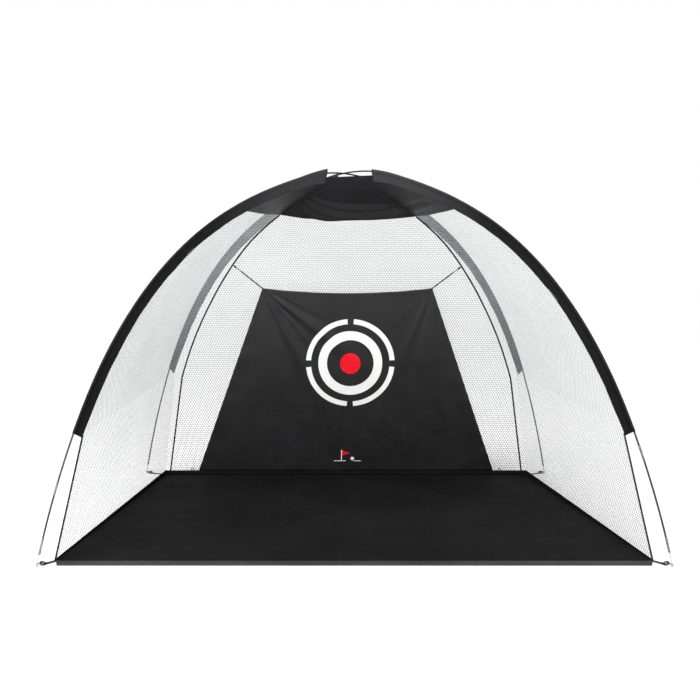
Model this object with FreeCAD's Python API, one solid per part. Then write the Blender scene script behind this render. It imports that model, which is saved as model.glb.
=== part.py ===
import FreeCAD, Part
import math
import os

# Golf chipping net: two crossed shock-corded poles in fabric sleeves stretch a netting tent, with a floor
# sheet and a target cloth tied up inside it. Millimetres. +X right, +Y to the back, +Z up, and the origin
# is on the ground, midway between the four feet.

V = FreeCAD.Vector
up = V(0, 0, 1)

# Overall size
front_span = 3000.0
rear_span = 2870.0
foot_depth = 1800.0
# Half of a pole's arch, from its crown to a foot, is this many equal bends, each turning by these degrees
arch_turns = (19.65, 5.95, 8.85, 10.1, 8.9, 7.5, 6.25, 4.4, 3.45, 3.75)

# Poles: hollow fibreglass sections butted inside steel ferrules, on a shock cord
pole_radius = 4.75
pole_bore = 2.75
ferrule_radius = 5.35
ferrule_length = 70.0
glue_gap = 0.05
shock_cord_radius = 1.5
middle_sections = 7
end_sections = {"a": (370.0, 440.0), "b": (530.0, 400.0)}
pole_stop = 105.0
crossing_lift = 10.6

# Feet: a metal tip on the pole's end, a ring-and-pin, and a webbing strap to the tent's corner
tip_radius = 5.6
tip_over = 25.0
tip_beyond = 50.0
tip_fit = 0.15
pin_radius = 2.5
pin_fit = 0.05
pin_inside = 38.0
eye_radius = 6.0
eye_wire = 2.2
eye_height = 8.5
ring_radius = 15.0
ring_wire = 2.0
ring_end_height = 4.9
strap_width = 24.0
strap_thickness = 1.5
strap_under = 2.7
strap_over = 10.0
strap_loop = (25.0, 31.0)
strap_sewn = 12.0

# Sleeves: a doubled hem round each pole, with its flat band towards the tent
sleeve_hollow = 5.75
sleeve_wall = 0.9
band_width = 62.0
band_thickness = 2.0
sleeve_start = 118.0
sleeve_stop = {"front": 2218.0, "rear": 2061.0}
band_swing = {"front": 26.0, "rear": 8.0}

# Tent: netting walls below a cloth roof, taped seams
net_thickness = 1.5
cloth_thickness = 1.5
front_tape_radius = 3.5
rear_tape_radius = 5.0
roof_runs = {"front": (130.0, 300.0, 490.0, 690.0), "rear": (130.0, 280.0, 440.0, 600.0)}
roof_hang = (26.0, 44.0, band_width, band_width)
wall_runs = {"front": (690.0, 1000.0, 1320.0, 1620.0, 1920.0, 2218.0),
             "rear": (600.0, 880.0, 1170.0, 1460.0, 1760.0, 2061.0)}
# How far the cloth hangs between the rear poles, down the roof and down the back wall
roof_sag = (0.0, 10.0, 24.0, 38.0)
back_sag = (38.0, 15.0, 0.0, 0.0, 0.0, 0.0)
seam_inset = (2.0, 18.0, 47.0, 67.0, 75.0, 86.0)
seam_foot = 36.0

# Floor
floor_front = (1440.0, -830.0)
floor_rear = (1290.0, 850.0)
lip_depth = 60.0
lip_shrink = 30.0
hem_height = 30.0

# Target cloth, tied up at its top corners and sewn down along its foot
target_top = (557.0, 420.0, 1329.0)
target_foot = (1050.0, 842.0, 33.0)
target_sag = 33.0
# Prints: half widths and half heights, a little taller than wide so that they look round from the front
print_centre = 828.0
print_offset = 24.0
print_thickness = 0.4
outer_ring = ((300.5, 321.0), (266.5, 285.0))
inner_ring = ((217.0, 234.5), (158.0, 169.5))
bull = (69.0, 77.5)
ring_gap = (44.0, 50.0)

# Ties: an elastic cord and hook on each top corner, caught in a webbing loop on the rear seam
tie_place = 0.8
tie_cord_radius = 4.0
tie_inset = 6.0
loop_length = 38.0
loop_hole = 4.0
loop_eye = 7.0
loop_wall = 1.5
loop_width = 3.0
hook_wire = 2.4
hook_bend = 7.0
hook_play = 0.3
hook_shank = 22.0
hook_tip = 6.0
# Cord loops on the hem beside the target's foot
foot_loop_radius = 9.0
foot_loop_wire = 2.0
foot_loop_place = 1098.0


def compass(x, y):
    length = math.hypot(x, y)
    return V(x / length, y / length, 0)


def unit(vector):
    return vector * (1 / vector.Length)


def between(a, b, part):
    return a + (b - a) * part


def arch_bends():
    # the bends of half an arch of unit bend length: radius, reach, drop and heading at the start of each
    found = []
    reach, drop, heading = 0.0, 0.0, 0.0
    for turn in arch_turns:
        end = heading + math.radians(turn)
        radius = 1 / math.radians(turn)
        found.append((radius, reach, drop, heading))
        reach += radius * (math.sin(end) - math.sin(heading))
        drop += radius * (math.cos(heading) - math.cos(end))
        heading = end
    return found, reach, drop


bends, unit_reach, unit_drop = arch_bends()
bend_length = math.hypot((front_span + rear_span) / 2, foot_depth) / 2 / unit_reach
half_length = bend_length * len(bends)
crown_height = bend_length * unit_drop


def make_pole(name):
    side = -1 if name == "a" else 1
    front = V(side * front_span / 2, -foot_depth / 2, 0)
    rear = V(-side * rear_span / 2, foot_depth / 2, 0)
    out = compass(rear.x - front.x, rear.y - front.y)
    lift = 0.0 if name == "a" else crossing_lift
    return {"name": name, "middle": (front + rear) / 2 + up * (crown_height + lift), "out": out}


poles = {name: make_pole(name) for name in ("a", "b")}


def station(pole, run):
    # point, tangent, outward normal and bend radius on a pole's centreline; the run starts at its crown,
    # negative towards the front foot
    distance = abs(run) / bend_length
    index = min(int(distance), len(bends) - 1)
    radius, reach, drop, heading = bends[index]
    turned = heading + (distance - index) / radius
    reach += radius * (math.sin(turned) - math.sin(heading))
    drop += radius * (math.cos(heading) - math.cos(turned))
    sign = -1 if run < 0 else 1
    turned *= sign
    point = pole["middle"] + (pole["out"] * (sign * reach) - up * drop) * bend_length
    tangent = pole["out"] * math.cos(turned) - up * math.sin(turned)
    normal = pole["out"] * math.sin(turned) + up * math.cos(turned)
    return point, tangent, normal, radius * bend_length


def spans(start, end):
    # cuts a run wherever the bend radius changes
    edges = [sign * bend_length * i for sign in (-1, 1) for i in range(1, len(bends))]
    cuts = sorted([start, end] + [e for e in edges if start + 0.01 < e < end - 0.01])
    return list(zip(cuts[:-1], cuts[1:]))


def one(pieces):
    # joins touching pieces into a single solid
    if len(pieces) == 1:
        return pieces[0]
    return pieces[0].multiFuse(pieces[1:]).removeSplitter()


def swept(pole, start, end, section):
    # carries a flat section along the arch, bend by bend
    pieces = []
    axis = up.cross(pole["out"])
    for low, high in spans(start, end):
        radius = station(pole, (low + high) / 2)[3]
        point, _, normal, _ = station(pole, low)
        face = section(point, normal, axis)
        pieces.append(face.revolve(point - normal * radius, axis, math.degrees((high - low) / radius)))
    return one(pieces)


def disc(point, facing, radius):
    return Part.Face(Part.Wire(Part.Circle(point, facing, radius).toShape()))


def annulus(outer, inner):
    def section(point, normal, axis):
        facing = normal.cross(axis)
        if not inner:
            return disc(point, facing, outer)
        return disc(point, facing, outer).cut(disc(point, facing, inner)).Faces[0]
    return section


def polygon(points):
    return Part.makePolygon(list(points) + [points[0]])


def sheet(rows, lift):
    # a thin solid ruled through pairs of points; lift gives the offset that makes its thickness at each row
    wires = []
    for (a, b), offset in zip(rows, lift):
        wires.append(polygon((a, b, b + offset, a + offset)))
    return Part.makeLoft(wires, True, True)


def save(node, *solids):
    shape = solids[0] if len(solids) == 1 else Part.makeCompound(solids)
    if not shape.isValid():
        print("not valid", node)
    shape.exportStep(os.path.join("parts", node + ".step"))


# The four corners of the tent: which pole, which end of it, and the way from the pole to the side wall
corners = {}
for pole_name, end, corner_name in (("a", -1, "front_left"), ("a", 1, "rear_right"),
                                    ("b", -1, "front_right"), ("b", 1, "rear_left")):
    left = corner_name.endswith("left")
    corners[corner_name] = {
        "pole": poles[pole_name],
        "end": end,
        "row": "front" if end < 0 else "rear",
        "hand": -1 if left else 1,
        "to_side": up.cross(poles[pole_name]["out"]) * (1 if left else -1),
    }


def band_way(corner, normal):
    swing = math.radians(band_swing[corner["row"]])
    return corner["to_side"] * math.sin(swing) - normal * math.cos(swing)


def band_point(corner, run, width=band_width):
    # a point on the sleeve's flat band, this far from the pole's centreline
    point, _, normal, _ = station(corner["pole"], corner["end"] * run)
    return point + band_way(corner, normal) * width


def floor_corner(corner, height):
    x, y = floor_front if corner["row"] == "front" else floor_rear
    return V(corner["hand"] * x, y, height)


def make_sections(pole):
    first, last = end_sections[pole["name"]]
    joints = [-half_length + first]
    step = (2 * half_length - first - last) / middle_sections
    joints += [joints[0] + step * (i + 1) for i in range(middle_sections)]
    ends = [-half_length + pole_stop] + joints + [half_length - pole_stop]
    for i, (low, high) in enumerate(zip(ends[:-1], ends[1:])):
        tube = annulus(pole_radius, pole_bore)
        save("pole_%s_section_%d" % (pole["name"], i + 1), swept(pole, low, high, tube))
    collar = annulus(ferrule_radius, pole_radius + glue_gap)
    half = ferrule_length / 2
    save("pole_%s_ferrules" % pole["name"], *[swept(pole, j - half, j + half, collar) for j in joints])
    reach = half_length - pole_stop - 2
    save("pole_%s_shock_cord" % pole["name"], swept(pole, -reach, reach, annulus(shock_cord_radius, 0)))


def make_sleeve(name, corner):
    half = band_thickness / 2

    def section(point, normal, axis):
        facing = normal.cross(axis)
        way = band_way(corner, normal)
        across = unit(facing.cross(way)) * half
        band = Part.Face(polygon((point + across, point - across, point - across + way * band_width,
                                  point + across + way * band_width)))
        hem = disc(point, facing, sleeve_hollow + sleeve_wall).fuse(band).removeSplitter()
        return hem.cut(disc(point, facing, sleeve_hollow)).Faces[0]

    runs = sorted(corner["end"] * r for r in (sleeve_start, sleeve_stop[corner["row"]]))
    save(name + "_sleeve", swept(corner["pole"], runs[0], runs[1], section))


def foot_frame(corner):
    # where the pole's end stands: the end of the tube, the way down along it, the pin's eye, the ring's lie
    point, tangent, _, _ = station(corner["pole"], corner["end"] * (half_length - pole_stop))
    down = tangent * corner["end"]
    eye = point + down * ((point.z - eye_height) / -down.z)
    towards = floor_corner(corner, 0) - V(eye.x, eye.y, 0)
    towards.z = 0
    level = unit(towards)
    slope = math.asin((eye_height - ring_end_height) / (2 * ring_radius))
    lie = level * math.cos(slope) - up * math.sin(slope)
    hinge = unit(level.cross(up))
    return point, down, eye, level, lie, hinge


def make_tip(corner):
    point, down, _, _, _, _ = foot_frame(corner)
    body = Part.makeCylinder(tip_radius, tip_over + tip_beyond, point - down * tip_over, down)
    socket = Part.makeCylinder(pole_radius + tip_fit, tip_over + 0.2, point - down * tip_over, down)
    bore = Part.makeCylinder(pin_radius + pin_fit, tip_beyond + 1, point, down)
    return body.cut(socket).cut(bore)


def make_foot(name, corner):
    point, down, eye, level, lie, hinge = foot_frame(corner)
    shank_start = point + down * (tip_beyond - pin_inside)
    shank_length = (eye - shank_start).Length - eye_radius
    shank = Part.makeCylinder(pin_radius, shank_length, shank_start, down)
    pin = shank.fuse(Part.makeTorus(eye_radius, eye_wire, eye, hinge)).removeSplitter()
    save(name + "_pin", pin)
    ring_face = unit(hinge.cross(lie))
    save(name + "_ring", Part.makeTorus(ring_radius, ring_wire, eye + lie * ring_radius, ring_face))
    save(name + "_strap", make_strap(corner, eye, level, hinge))


def make_strap(corner, eye, level, hinge):
    # a loop round the ring's far side, standing open above it, and a tail to the tent's corner
    near, far = strap_loop
    low = ring_end_height - strap_under - strap_thickness
    ground = V(eye.x, eye.y, low)
    inner_low = ring_end_height - strap_under - low
    inner_high = ring_end_height + strap_over - low
    middle = (inner_low + inner_high) / 2

    def at(along, height):
        return ground + level * along + up * height - hinge * (strap_width / 2)

    def outline(grow):
        half = (inner_high - inner_low) / 2 + grow
        top = middle + half
        bottom = middle - half
        return [
            Part.LineSegment(at(near, bottom), at(far, bottom)).toShape(),
            Part.Arc(at(far, bottom), at(far + half, middle), at(far, top)).toShape(),
            Part.LineSegment(at(far, top), at(near, top)).toShape(),
            Part.Arc(at(near, top), at(near - half, middle), at(near, bottom)).toShape(),
        ]

    loop = Part.Face(Part.Wire(outline(strap_thickness))).cut(Part.Face(Part.Wire(outline(0.0)))).Faces[0]
    loop = loop.extrude(hinge * strap_width)
    reach = (floor_corner(corner, 0) - V(eye.x, eye.y, 0)).Length
    end = reach + strap_sewn
    tail = Part.Face(polygon((at(far, 0), at(end, 0), at(end, strap_thickness), at(far, strap_thickness))))
    tail = tail.extrude(hinge * strap_width)
    return loop.fuse(tail).removeSplitter()


def seam_point(corner, index):
    # the taped corner seam of the tent, inside the rear sleeve's band
    return band_point(corner, wall_runs["rear"][index], band_width + seam_inset[index])


def wall_heading(row, index):
    run = wall_runs[row][index]
    normal = station(poles["a"], run)[2]
    return math.atan2(math.hypot(normal.x, normal.y), normal.z)


def make_side_wall(hand):
    front = corners["front_left" if hand < 0 else "front_right"]
    rear = corners["rear_left" if hand < 0 else "rear_right"]
    panel, strip, lifts = [], [], []
    for i in range(len(wall_runs["front"])):
        kink = band_point(rear, wall_runs["rear"][i])
        panel.append((band_point(front, wall_runs["front"][i]), kink))
        strip.append((kink, seam_point(rear, i)))
        heading = wall_heading("front", i)
        lifts.append(V(hand * math.sin(heading), 0, math.cos(heading)) * net_thickness)
    foot = floor_corner(rear, hem_height)
    front_foot = floor_corner(front, cloth_thickness)
    panel.append((front_foot, foot))
    lifts.append(V(hand, 0, 0) * net_thickness)
    pieces = [sheet(panel, lifts)]
    strip.append((foot, foot - V(hand * seam_foot, 0, 0)))
    pieces.append(sheet(strip, lifts))
    return one(pieces)


def hung(left, right, sags, lifts):
    # a sheet between two lines of points, its middle hanging below them
    middle = [between(a, b, 0.5) - up * sag for a, b, sag in zip(left, right, sags)]
    return [sheet(list(zip(left, middle)), lifts), sheet(list(zip(middle, right)), lifts)]


def make_back_wall():
    lines = []
    for name in ("rear_left", "rear_right"):
        corner = corners[name]
        line = [seam_point(corner, i) for i in range(len(wall_runs["rear"]))]
        line.append(floor_corner(corner, hem_height) - V(corner["hand"] * seam_foot, 0, 0))
        lines.append(line)
    headings = [wall_heading("rear", i) for i in range(len(wall_runs["rear"]))]
    lifts = [V(0, math.sin(h), math.cos(h)) * net_thickness for h in headings]
    lifts.append(V(0, 1, 0) * net_thickness)
    return one(hung(lines[0], lines[1], back_sag + (0.0,), lifts))


def make_roof():
    lines = {}
    for name, corner in corners.items():
        lines[name] = [band_point(corner, r, w) for r, w in zip(roof_runs[corner["row"]], roof_hang)]
    rise = [up * cloth_thickness] * len(roof_hang)
    pieces = hung(lines["rear_left"], lines["rear_right"], roof_sag, rise)
    for side in ("left", "right"):
        pieces.append(sheet(list(zip(lines["front_" + side], lines["rear_" + side])), rise))
    top = [(lines["front_" + side][0], lines["rear_" + side][0]) for side in ("left", "right")]
    pieces.append(sheet(top, rise[:2]))
    return one(pieces)


def rod(points, radius):
    # a round cord through points, with a ball at each bend
    pieces = []
    for a, b in zip(points[:-1], points[1:]):
        pieces.append(Part.makeCylinder(radius, (b - a).Length, a, b - a))
    for p in points[1:-1]:
        pieces.append(Part.makeSphere(radius, p))
    return one(pieces)


def make_front_tape(corner):
    foot = floor_corner(corner, cloth_thickness + front_tape_radius)
    return rod([band_point(corner, wall_runs["front"][-1]), foot], front_tape_radius)


def make_rear_tape(corner):
    points = [seam_point(corner, i) for i in range(len(wall_runs["rear"]))]
    points.append(floor_corner(corner, hem_height) - V(corner["hand"] * seam_foot, 0, 0))
    return rod(points, rear_tape_radius)


def slab(points, thickness):
    return Part.Face(polygon(points)).extrude(up * thickness)


def make_floor():
    return slab([floor_corner(corners[n], 0) for n in ("front_left", "front_right", "rear_right", "rear_left")],
                cloth_thickness)


def make_lip():
    x, y = floor_front
    edge, front = x - lip_shrink, y - lip_depth
    return slab([V(-x, y, 0), V(-edge, front, 0), V(edge, front, 0), V(x, y, 0)], cloth_thickness)


def make_hem():
    # the standing hem that joins the walls to the floor, low at the front and full height across the back
    names = ("front_left", "rear_left", "rear_right", "front_right")
    feet = [floor_corner(corners[n], cloth_thickness) for n in names]
    low = 2 * front_tape_radius
    heights = (low, hem_height, hem_height, low)
    pieces = []
    for i in range(3):
        a, b = feet[i], feet[i + 1]
        face = Part.Face(polygon((a, b, b + up * (heights[i + 1] - cloth_thickness), a + up * heights[i])))
        pieces.append(face.extrude(unit(up.cross(b - a)) * cloth_thickness))
    return one(pieces)


def target_frame():
    foot = V(0, target_foot[1], target_foot[2])
    top = V(0, target_top[1], target_top[2])
    rise = unit(top - foot)
    return foot, rise, V(1, 0, 0).cross(rise) * -1, (top - foot).Length


def on_target(x, height, proud=0.0):
    # a point on the target cloth's front, this far across, up its slope, and out from it
    foot, rise, facing, _ = target_frame()
    return foot + V(x, 0, 0) + rise * height - facing * proud


def make_target():
    tall = target_frame()[3]
    half_top, half_foot = target_top[0], target_foot[0]
    points = [on_target(-half_foot, 0), on_target(half_foot, 0), on_target(half_top, tall)]
    sag = on_target(0, tall - target_sag)
    edge = Part.Arc(points[2], sag, on_target(-half_top, tall)).toShape()
    lines = [Part.LineSegment(points[0], points[1]).toShape(), Part.LineSegment(points[1], points[2]).toShape(),
             edge, Part.LineSegment(on_target(-half_top, tall), points[0]).toShape()]
    facing = target_frame()[2]
    return Part.Face(Part.Wire(lines)).extrude(facing * cloth_thickness)


def oval(half_width, half_height):
    centre = on_target(print_offset, print_centre)
    top = on_target(print_offset, print_centre + half_height)
    side = on_target(print_offset + half_width, print_centre)
    return Part.Face(Part.Wire(Part.Ellipse(top, side, centre).toShape()))


def printed(outer, inner=None):
    face = oval(*outer)
    if inner:
        face = face.cut(oval(*inner)).Faces[0]
    return face.extrude(target_frame()[2] * -print_thickness)


def make_rings():
    # the outer ring is broken at the top, the foot and both sides
    facing = target_frame()[2]
    broken = printed(*outer_ring)
    reach = 3 * outer_ring[0][1]
    for across, tall in ((ring_gap[0], reach), (reach, ring_gap[1])):
        corner = [on_target(print_offset + sx * across / 2, print_centre + sz * tall / 2, 1.0)
                  for sx, sz in ((-1, -1), (1, -1), (1, 1), (-1, 1))]
        broken = broken.cut(Part.Face(polygon(corner)).extrude(facing * 2))
    return broken.Solids + [printed(*inner_ring)]


def make_tie(name, hand):
    # the seam's tab lies in the plane of way and across and ends in an eye; the hook's bend stands across it
    rear = corners["rear_left" if hand < 0 else "rear_right"]
    seam = between(seam_point(rear, 1), seam_point(rear, 2), tie_place)
    tall = target_frame()[3]
    tip = on_target(hand * (target_top[0] - tie_inset), tall - tie_inset, -cloth_thickness / 2)
    way = unit(tip - seam)
    across = unit(way.cross(V(0, 1, 0)))
    side = across.cross(way)
    start = seam + way * (rear_tape_radius + loop_hole)
    end = seam + way * loop_length

    def stadium(begin, half):
        edges = [Part.LineSegment(begin + across * half, end + across * half).toShape(),
                 Part.Arc(end + across * half, end + way * half, end - across * half).toShape(),
                 Part.LineSegment(end - across * half, begin - across * half).toShape(),
                 Part.Arc(begin - across * half, begin - way * half, begin + across * half).toShape()]
        face = Part.Face(Part.Wire(edges))
        return face.translated(side * (-loop_width / 2)).extrude(side * loop_width)

    loop = stadium(start, loop_hole + loop_wall).cut(stadium(end - way * loop_eye, loop_hole))
    centre = end + way * (loop_hole + hook_bend - hook_wire - hook_play)
    bend = disc(centre + side * hook_bend, way, hook_wire).revolve(centre, across, 180)
    shank = Part.makeCylinder(hook_wire, hook_shank, centre + side * hook_bend, way)
    point = Part.makeCylinder(hook_wire, hook_tip, centre - side * hook_bend, way)
    tie_start = centre + side * hook_bend + way * hook_shank
    cord = Part.makeCylinder(tie_cord_radius, (tip - tie_start).Length, tie_start, tip - tie_start)
    save(name + "_tie_cord", cord)
    print(name, "tie cord", round((tip - tie_start).Length, 1), "from", tie_start, "to", tip)
    return loop, one([shank, bend, point])


def make_foot_loop(hand):
    centre = V(hand * foot_loop_place, floor_rear[1], hem_height + foot_loop_radius - foot_loop_wire)
    return Part.makeTorus(foot_loop_radius, foot_loop_wire, centre, V(0, 1, 0))


def main():
    os.makedirs("parts", exist_ok=True)
    for pole in poles.values():
        make_sections(pole)
    save("pole_tips", *[make_tip(c) for c in corners.values()])
    for name, corner in corners.items():
        make_sleeve(name, corner)
        make_foot(name, corner)
    save("left_side_net", make_side_wall(-1))
    save("right_side_net", make_side_wall(1))
    save("back_net", make_back_wall())
    save("roof_panel", make_roof())
    save("left_front_tape", make_front_tape(corners["front_left"]))
    save("right_front_tape", make_front_tape(corners["front_right"]))
    save("left_rear_tape", make_rear_tape(corners["rear_left"]))
    save("right_rear_tape", make_rear_tape(corners["rear_right"]))
    save("floor_sheet", make_floor())
    save("front_lip", make_lip())
    save("floor_hem", make_hem())
    save("target_cloth", make_target())
    save("target_rings", *make_rings())
    save("target_bull", printed(bull))
    ties = [make_tie("left", -1), make_tie("right", 1)]
    save("seam_loops", *[loop for loop, _ in ties])
    save("tie_hooks", *[hook for _, hook in ties])
    save("foot_loops", make_foot_loop(-1), make_foot_loop(1))


main()
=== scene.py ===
import math
import bpy
import bmesh
import numpy as np
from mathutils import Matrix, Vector, noise


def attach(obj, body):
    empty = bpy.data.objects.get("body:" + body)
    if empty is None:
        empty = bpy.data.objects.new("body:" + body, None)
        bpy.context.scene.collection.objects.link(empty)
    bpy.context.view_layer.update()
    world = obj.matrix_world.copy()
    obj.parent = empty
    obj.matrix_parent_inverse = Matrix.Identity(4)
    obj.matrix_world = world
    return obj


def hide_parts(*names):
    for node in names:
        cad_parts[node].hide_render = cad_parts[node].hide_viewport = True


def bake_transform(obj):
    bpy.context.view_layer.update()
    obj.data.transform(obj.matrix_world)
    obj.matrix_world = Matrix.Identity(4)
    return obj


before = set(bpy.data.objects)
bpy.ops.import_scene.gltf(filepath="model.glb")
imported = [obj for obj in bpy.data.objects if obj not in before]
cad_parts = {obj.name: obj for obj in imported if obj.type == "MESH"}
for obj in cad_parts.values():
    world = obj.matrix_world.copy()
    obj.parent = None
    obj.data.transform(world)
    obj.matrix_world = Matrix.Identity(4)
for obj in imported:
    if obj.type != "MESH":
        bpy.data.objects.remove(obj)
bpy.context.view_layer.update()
scene = bpy.context.scene

# Golf chipping net: two crossed poles in sleeves, a netting tent, a floor sheet and a tied-up target.
# Metres, +X right, +Y to the back, +Z up, the origin on the ground midway between the feet.

view = {"place": (-0.1188, -4.2945, 1.2771), "lens": 36.9655, "shiftX": 0.02966, "shiftY": -0.07689}

camera = bpy.data.objects.new("camera", bpy.data.cameras.new("camera"))
scene.collection.objects.link(camera)
camera.location = view["place"]
camera.rotation_euler = (math.pi / 2, 0, 0)
camera.data.sensor_width = 36
camera.data.lens = view["lens"]
camera.data.shift_x = view["shiftX"]
camera.data.shift_y = view["shiftY"]
scene.camera = camera
scene.view_settings.view_transform = "Standard"
print("camera placed")


def linear(colour):
    # sRGB hex to linear RGBA
    values = [int(colour[i:i + 2], 16) / 255 for i in (1, 3, 5)]
    return tuple(v / 12.92 if v <= 0.04045 else ((v + 0.055) / 1.055) ** 2.4 for v in values) + (1.0,)


def addNode(tree, kind, settings=(), links=()):
    node = tree.nodes.new(kind)
    for key, value in dict(settings).items():
        if isinstance(key, int) or key in node.inputs:
            node.inputs[key].default_value = value
        else:
            setattr(node, key, value)
    for key, source in dict(links).items():
        tree.links.new(source, node.inputs[key])
    return node


def startMaterial(name, shader):
    material = bpy.data.materials.new(name)
    material.use_nodes = True
    tree = material.node_tree
    surface = tree.nodes["Principled BSDF"]
    for key, value in shader.items():
        surface.inputs[key].default_value = value
    return material, tree, surface


def mottled(tree, source, span, first, second):
    # a colour that passes from the first to the second as the source passes over the span
    tone = addNode(tree, "ShaderNodeMapRange", {"From Min": span[0], "From Max": span[1]},
                   {"Value": source.outputs["Fac"]})
    return addNode(tree, "ShaderNodeMix", {"data_type": "RGBA", 6: linear(first), 7: linear(second)},
                   {0: tone.outputs["Result"]})


def finishSurface(tree, surface, colour, rough, bump):
    tree.links.new(colour.outputs[2], surface.inputs["Base Color"])
    tree.links.new(rough.outputs["Result"], surface.inputs["Roughness"])
    tree.links.new(bump.outputs["Normal"], surface.inputs["Normal"])


def waveScale(period):
    # a Wave Texture of scale 1 repeats every 0.31416 m
    return 0.31416 / period


def crossedThreads(tree, place, thread, settings=()):
    # warp and weft, drawn about four times as coarse as the real threads so that they show
    sets = [addNode(tree, "ShaderNodeTexWave", {"Scale": waveScale(thread), "bands_direction": way,
                    **dict(settings)}, {"Vector": place}) for way in "XY"]
    return addNode(tree, "ShaderNodeMath", {"operation": "MULTIPLY"},
                   {k: threads.outputs["Fac"] for k, threads in enumerate(sets)})


def wovenCloth(name, cloth):
    # coated oxford or webbing: two crossing thread sets, a soft sheen, fine crush creases and a little dust
    material, tree, surface = startMaterial(name, {
        "Sheen Weight": cloth["sheen"], "Sheen Roughness": 0.45, "Specular IOR Level": cloth["specular"],
        "Sheen Tint": linear("#c8ccd2")})
    place = addNode(tree, "ShaderNodeTexCoord").outputs["UV"]
    threads = crossedThreads(tree, place, cloth["thread"], {"Distortion": 0.4, "Detail": 1.0})
    crush = addNode(tree, "ShaderNodeTexNoise", {"Scale": 1 / cloth["crush"], "Detail": 5.0,
                    "Roughness": 0.62, "Distortion": 0.8}, {"Vector": place})
    patches = addNode(tree, "ShaderNodeTexNoise", {"Scale": 2.2, "Detail": 3.0}, {"Vector": place})
    dust = addNode(tree, "ShaderNodeTexNoise", {"Scale": 240.0, "Detail": 2.0}, {"Vector": place})
    colour = mottled(tree, patches, (0.3, 0.7), cloth["dark"], cloth["light"])
    if "paintedCrownLight" in cloth:  # painted light: paler where the sleeve runs up towards the crown, which takes the sun
        split = addNode(tree, "ShaderNodeSeparateXYZ", (), {0: place})
        high = addNode(tree, "ShaderNodeMapRange", {"From Min": 1.0, "From Max": 0.3,
                       "interpolation_type": "SMOOTHSTEP"}, {"Value": split.outputs["X"]})
        colour = addNode(tree, "ShaderNodeMix", {"data_type": "RGBA", 7: linear(cloth["paintedCrownLight"])},
                         {0: high.outputs["Result"], 6: colour.outputs[2]})
    specks = addNode(tree, "ShaderNodeMapRange", {"From Min": 0.62, "From Max": 0.8, "To Max": cloth["dust"]},
                     {"Value": dust.outputs["Fac"]})
    dusty = addNode(tree, "ShaderNodeMix", {"data_type": "RGBA", 7: linear("#8c8c88")},
                    {0: specks.outputs["Result"], 6: colour.outputs[2]})
    smooth, rough = cloth["rough"]
    gloss = addNode(tree, "ShaderNodeMapRange", {"From Min": 0.35, "From Max": 0.65, "To Min": smooth,
                    "To Max": rough}, {"Value": crush.outputs["Fac"]})
    weave = addNode(tree, "ShaderNodeBump", {"Strength": cloth["weave"], "Distance": cloth["thread"] * 0.3},
                    {"Height": threads.outputs[0]})
    creased = addNode(tree, "ShaderNodeBump", {"Strength": cloth["creases"], "Distance": 0.004},
                      {"Height": crush.outputs["Fac"], "Normal": weave.outputs["Normal"]})
    finishSurface(tree, surface, dusty, gloss, creased)
    return material


def metalFinish(name, metal):
    # a drawn or turned metal part: fine lines along it and dull patches of handling
    material, tree, surface = startMaterial(name, {"Metallic": metal["metallic"]})
    place = addNode(tree, "ShaderNodeTexCoord").outputs["Object"]
    stretch = addNode(tree, "ShaderNodeMapping", {"Scale": metal["grain"]}, {"Vector": place})
    grain = addNode(tree, "ShaderNodeTexNoise", {"Scale": 1.0, "Detail": 4.0}, {"Vector": stretch.outputs[0]})
    handling = addNode(tree, "ShaderNodeTexNoise", {"Scale": 22.0, "Detail": 4.0, "Roughness": 0.6},
                       {"Vector": place})
    colour = mottled(tree, handling, (0.35, 0.7), metal["light"], metal["dark"])
    smooth, dull = metal["rough"]
    rough = addNode(tree, "ShaderNodeMapRange", {"From Min": 0.3, "From Max": 0.7, "To Min": smooth,
                    "To Max": dull}, {"Value": grain.outputs["Fac"]})
    bump = addNode(tree, "ShaderNodeBump", {"Strength": 0.25, "Distance": 0.0004},
                   {"Height": grain.outputs["Fac"]})
    finishSurface(tree, surface, colour, rough, bump)
    return material


def knittedThread(name, thread):
    # polyester thread, knitted or braided: short diagonal ribs and a slightly uneven white
    material, tree, surface = startMaterial(name, {
        "Sheen Weight": thread["sheen"], "Specular IOR Level": thread["specular"]})
    place = addNode(tree, "ShaderNodeTexCoord").outputs["Object"]
    ribs = addNode(tree, "ShaderNodeTexWave", {"Scale": waveScale(thread["rib"]), "Distortion": 1.2,
                   "Detail": 2.0, "bands_direction": "DIAGONAL"}, {"Vector": place})
    shade = addNode(tree, "ShaderNodeTexNoise", {"Scale": 9.0, "Detail": 3.0}, {"Vector": place})
    mixed = addNode(tree, "ShaderNodeMath", {"operation": "MULTIPLY_ADD", 1: 0.35},
                    {0: ribs.outputs["Fac"], 2: shade.outputs["Fac"]})
    colour = addNode(tree, "ShaderNodeMix", {"data_type": "RGBA", 6: linear(thread["dark"]),
                     7: linear(thread["light"])}, {0: mixed.outputs[0]})
    if "paintedGroundShade" in thread:  # painted shade: greyer towards the ground
        split = addNode(tree, "ShaderNodeSeparateXYZ", (), {0: place})
        low = addNode(tree, "ShaderNodeMapRange", {"From Min": 1.4, "From Max": 0.1, "To Max": 0.85},
                      {"Value": split.outputs["Z"]})
        colour = addNode(tree, "ShaderNodeMix", {"data_type": "RGBA", 7: linear(thread["paintedGroundShade"])},
                         {0: low.outputs["Result"], 6: colour.outputs[2]})
    rough = addNode(tree, "ShaderNodeMapRange", {"To Min": 0.5, "To Max": 0.75},
                    {"Value": ribs.outputs["Fac"]})
    bump = addNode(tree, "ShaderNodeBump", {"Strength": 0.6, "Distance": 0.0004},
                   {"Height": ribs.outputs["Fac"]})
    finishSurface(tree, surface, colour, rough, bump)
    return material


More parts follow.
